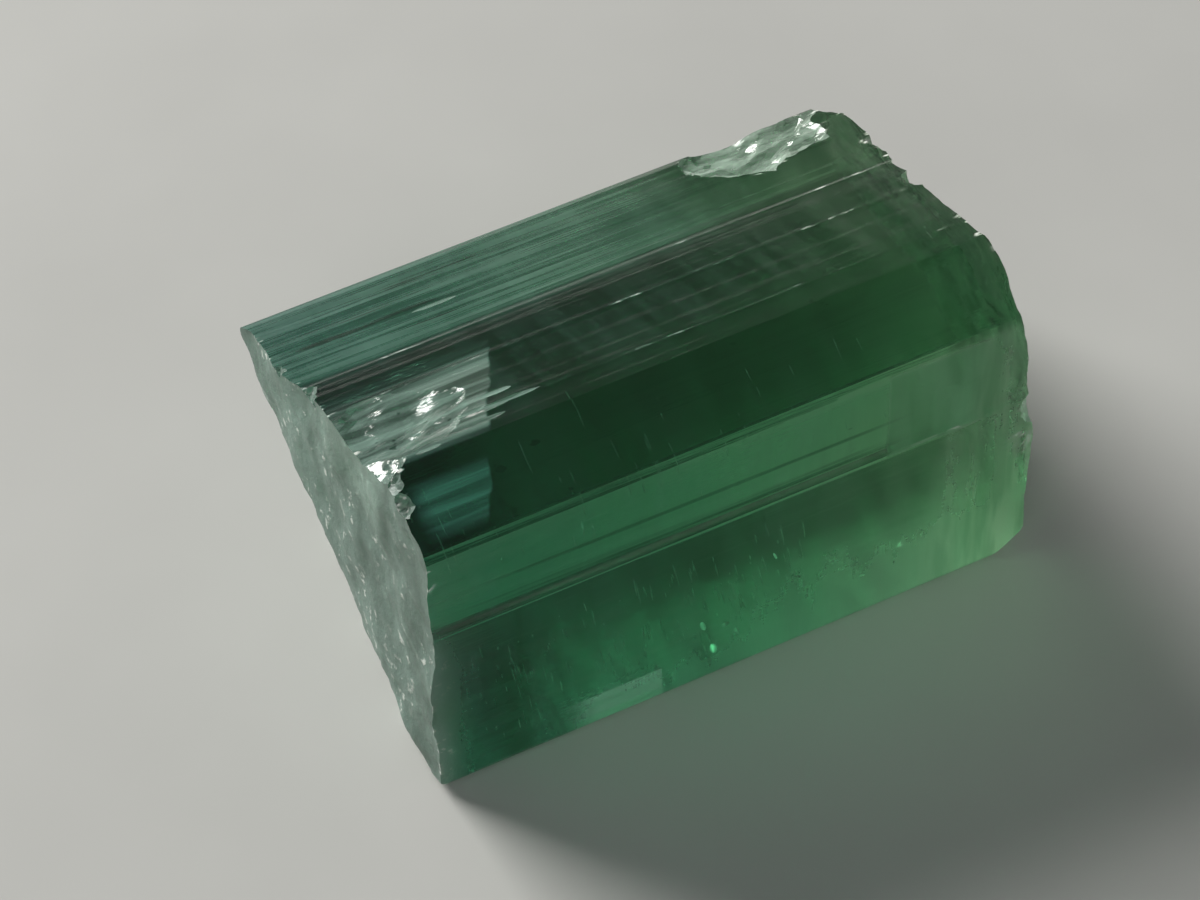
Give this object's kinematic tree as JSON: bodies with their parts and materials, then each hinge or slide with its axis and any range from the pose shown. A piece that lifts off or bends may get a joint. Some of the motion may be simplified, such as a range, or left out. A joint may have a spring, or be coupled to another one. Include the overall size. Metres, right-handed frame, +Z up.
{
  "type": "tourmaline crystal",
  "caption": "Stubby green tourmaline prism with grooved side faces and a frosted broken end, lying on one side as a loose display specimen.",
  "frame": {"origin": "bottom centre of the bounding box, on the surface that the crystal lies on", "axes": "+X along the prism from the frosted broken end to the end with the bright lower corner, +Z up, so -Y is the steep front side"},
  "size_m": [0.0208, 0.014, 0.0108],
  "materials": {
    "tourmaline": "clear dark green crystal, glassy grooved faces and frosted breaks"
  },
  "bodies": {
    "root": {"crystal": "tourmaline"}
  },
  "joints": []
}
